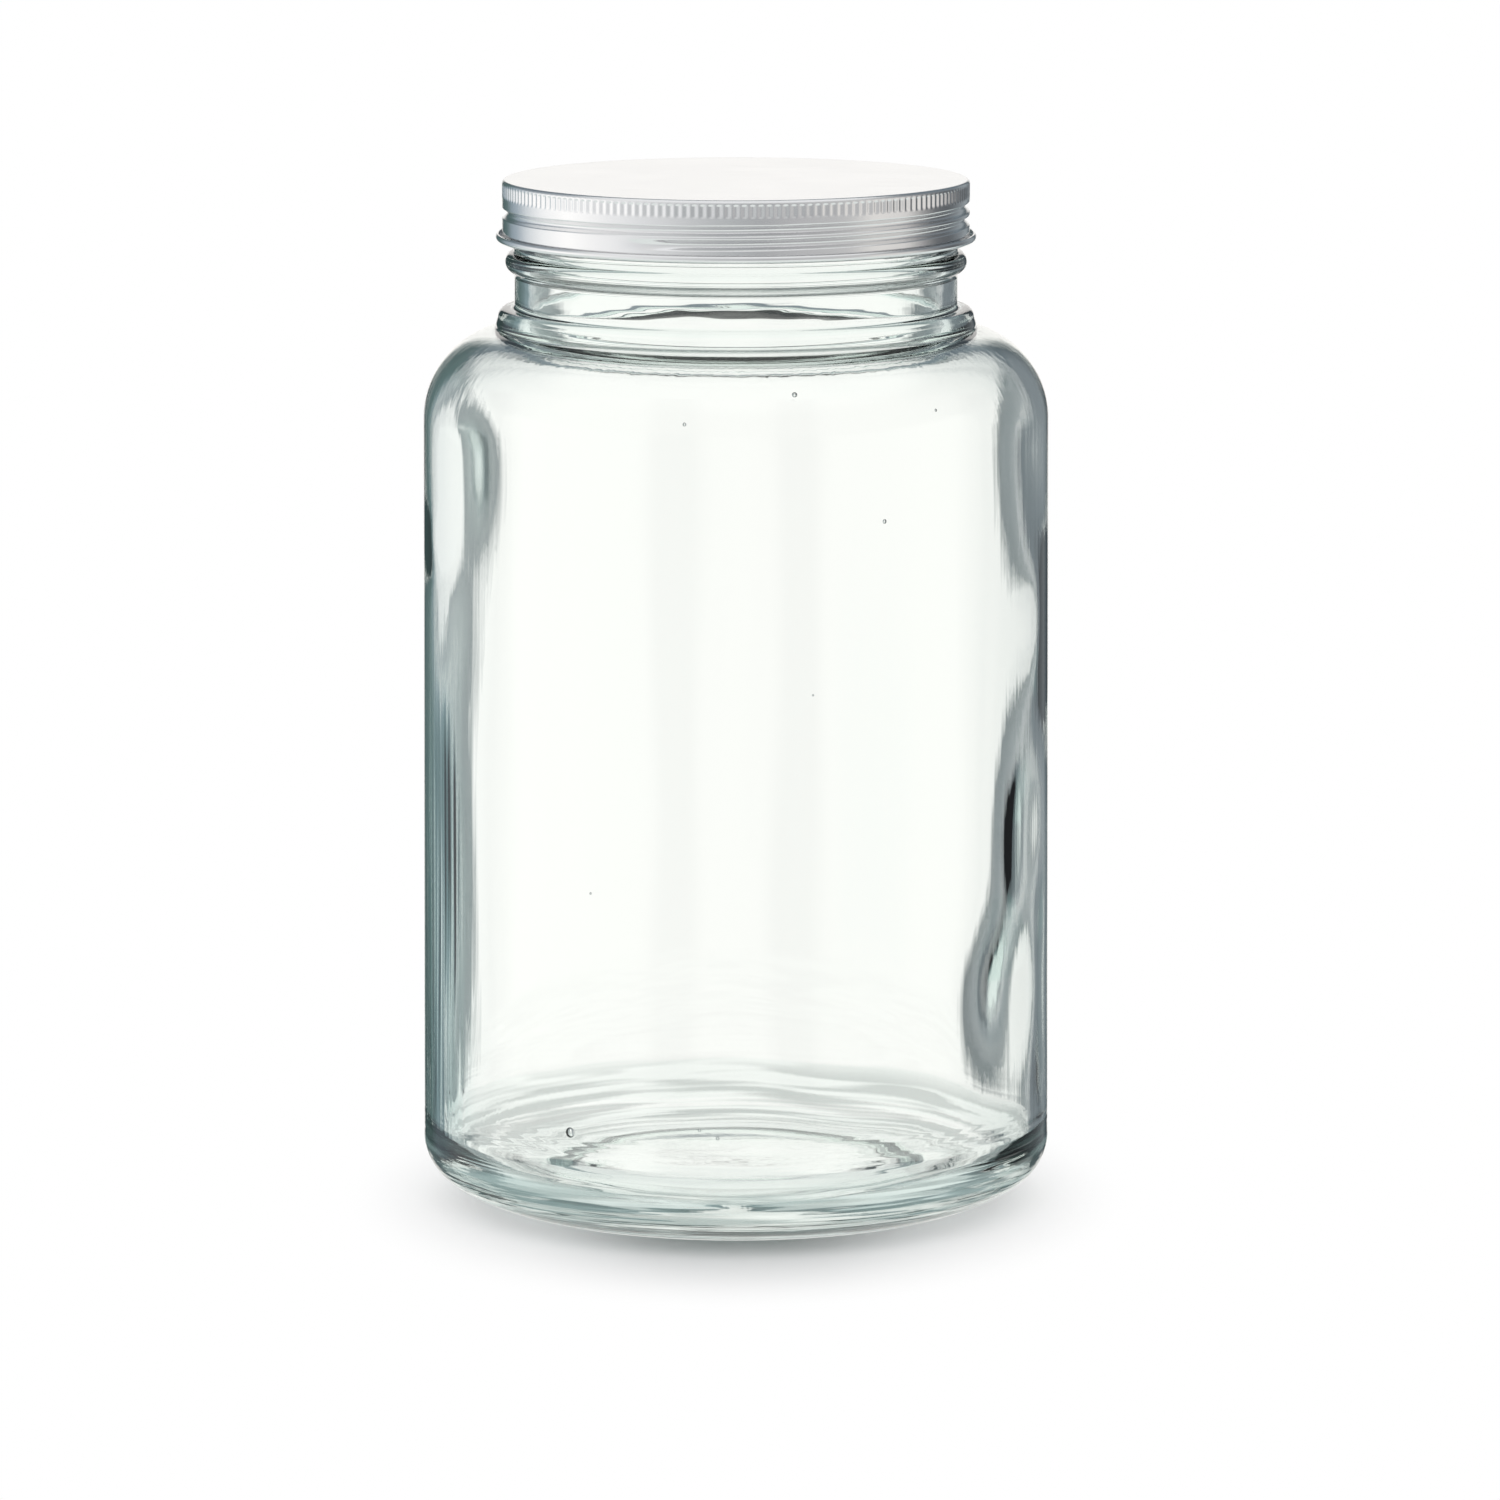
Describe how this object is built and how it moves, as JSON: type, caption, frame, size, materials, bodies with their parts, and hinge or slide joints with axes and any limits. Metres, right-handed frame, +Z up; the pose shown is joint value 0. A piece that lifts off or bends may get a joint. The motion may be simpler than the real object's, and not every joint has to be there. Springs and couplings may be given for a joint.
{
  "type": "storage jar",
  "caption": "Clear glass storage jar with a wide neck, a collar and a carrying bead, closed by a flat screw lid of rolled aluminium sheet.",
  "frame": {"origin": "centre of the underside, at the height of the ring the jar stands on", "axes": "+Z up along the axis of the jar, -Y towards the front"},
  "size_m": [0.17, 0.17, 0.278],
  "materials": {
    "glass": "clear soda glass with a faint yellow-green tint, slightly uneven inside",
    "lid": "bare satin aluminium sheet, rolled and curled"
  },
  "bodies": {
    "root": {"jar": "glass", "lid": "lid"}
  },
  "joints": []
}
